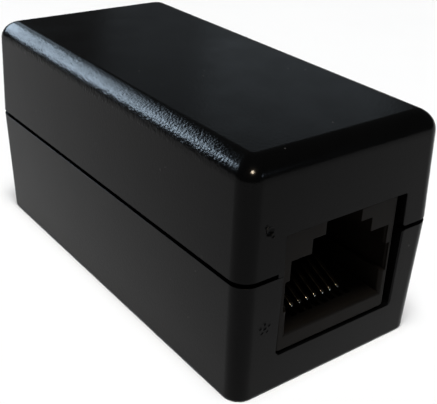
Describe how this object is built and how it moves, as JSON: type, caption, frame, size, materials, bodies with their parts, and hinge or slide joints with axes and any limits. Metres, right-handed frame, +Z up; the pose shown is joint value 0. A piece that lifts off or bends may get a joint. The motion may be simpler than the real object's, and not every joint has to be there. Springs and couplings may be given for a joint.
{
  "type": "in-line network coupler",
  "caption": "Black in-line coupler that joins network plugs end to end: moulded upper and lower shells round a stepped modular socket at each end, with gold spring contacts.",
  "frame": {"origin": "middle of the flat underside", "axes": "+Z up; +Y along the length from the near socket to the far one; +X to the right as seen looking into the near socket"},
  "size_m": [0.024, 0.049, 0.0243],
  "materials": {
    "case_plastic": "satin black with a fine moulded grain",
    "jack_plastic": "smooth moulded black",
    "comb_plastic": "plain moulded dark grey",
    "contact_gold": "gold-plated spring bronze",
    "board_laminate": "green lacquered glass-fibre board"
  },
  "bodies": {
    "root": {"upper_shell": "case_plastic", "lower_shell": "case_plastic", "circuit_board": "board_laminate", "front_jack_body": "jack_plastic", "rear_jack_body": "jack_plastic", "front_contact_comb": "comb_plastic", "rear_contact_comb": "comb_plastic", "front_contact_1": "contact_gold", "front_contact_2": "contact_gold", "front_contact_3": "contact_gold", "front_contact_4": "contact_gold", "front_contact_5": "contact_gold", "front_contact_6": "contact_gold", "front_contact_7": "contact_gold", "front_contact_8": "contact_gold", "rear_contact_1": "contact_gold", "rear_contact_2": "contact_gold", "rear_contact_3": "contact_gold", "rear_contact_4": "contact_gold", "rear_contact_5": "contact_gold", "rear_contact_6": "contact_gold", "rear_contact_7": "contact_gold", "rear_contact_8": "contact_gold"}
  },
  "joints": []
}
